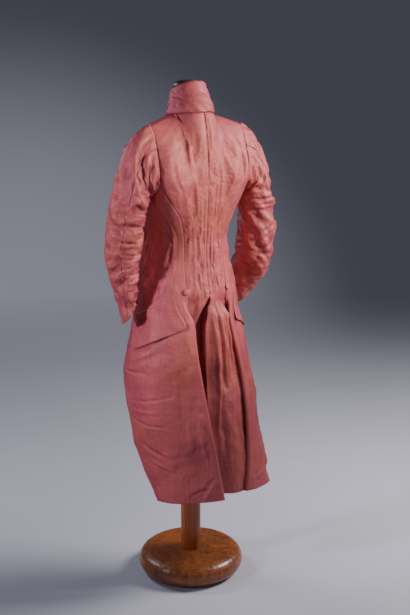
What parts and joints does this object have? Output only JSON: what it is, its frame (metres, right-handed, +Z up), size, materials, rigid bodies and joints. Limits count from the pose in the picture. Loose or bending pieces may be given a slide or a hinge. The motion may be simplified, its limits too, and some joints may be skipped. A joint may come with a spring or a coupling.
{
  "type": "cutaway silk tailcoat on a limbless dress form with stand",
  "caption": "Long cutaway coat in shot silk with a turned-down collar, pleated skirts and a back vent, worn on a limbless dress form on a round wooden stand.",
  "frame": {"origin": "centre of the underside of the stand's base, on the floor", "axes": "+Z up; +Y towards the back of the coat; +X towards the wearer's left"},
  "size_m": [0.593, 0.351, 1.5538],
  "materials": {
    "silk": "changeable taffeta, satin sheen",
    "linen": "matte plain weave",
    "wood": "satin varnish",
    "cap_wood": "satin varnish"
  },
  "bodies": {
    "root": {"back_left": "silk", "back_right": "silk", "base": "wood", "collar": "silk", "form_torso": "linen", "front_left": "silk", "front_right": "silk", "hip_button_left": "silk", "hip_button_right": "silk", "neck_cap": "cap_wood", "pocket_flap_left": "silk", "pocket_flap_right": "silk", "post": "wood", "sleeve_under_left": "silk", "sleeve_under_right": "silk", "sleeve_upper_left": "silk", "sleeve_upper_right": "silk"}
  },
  "joints": []
}
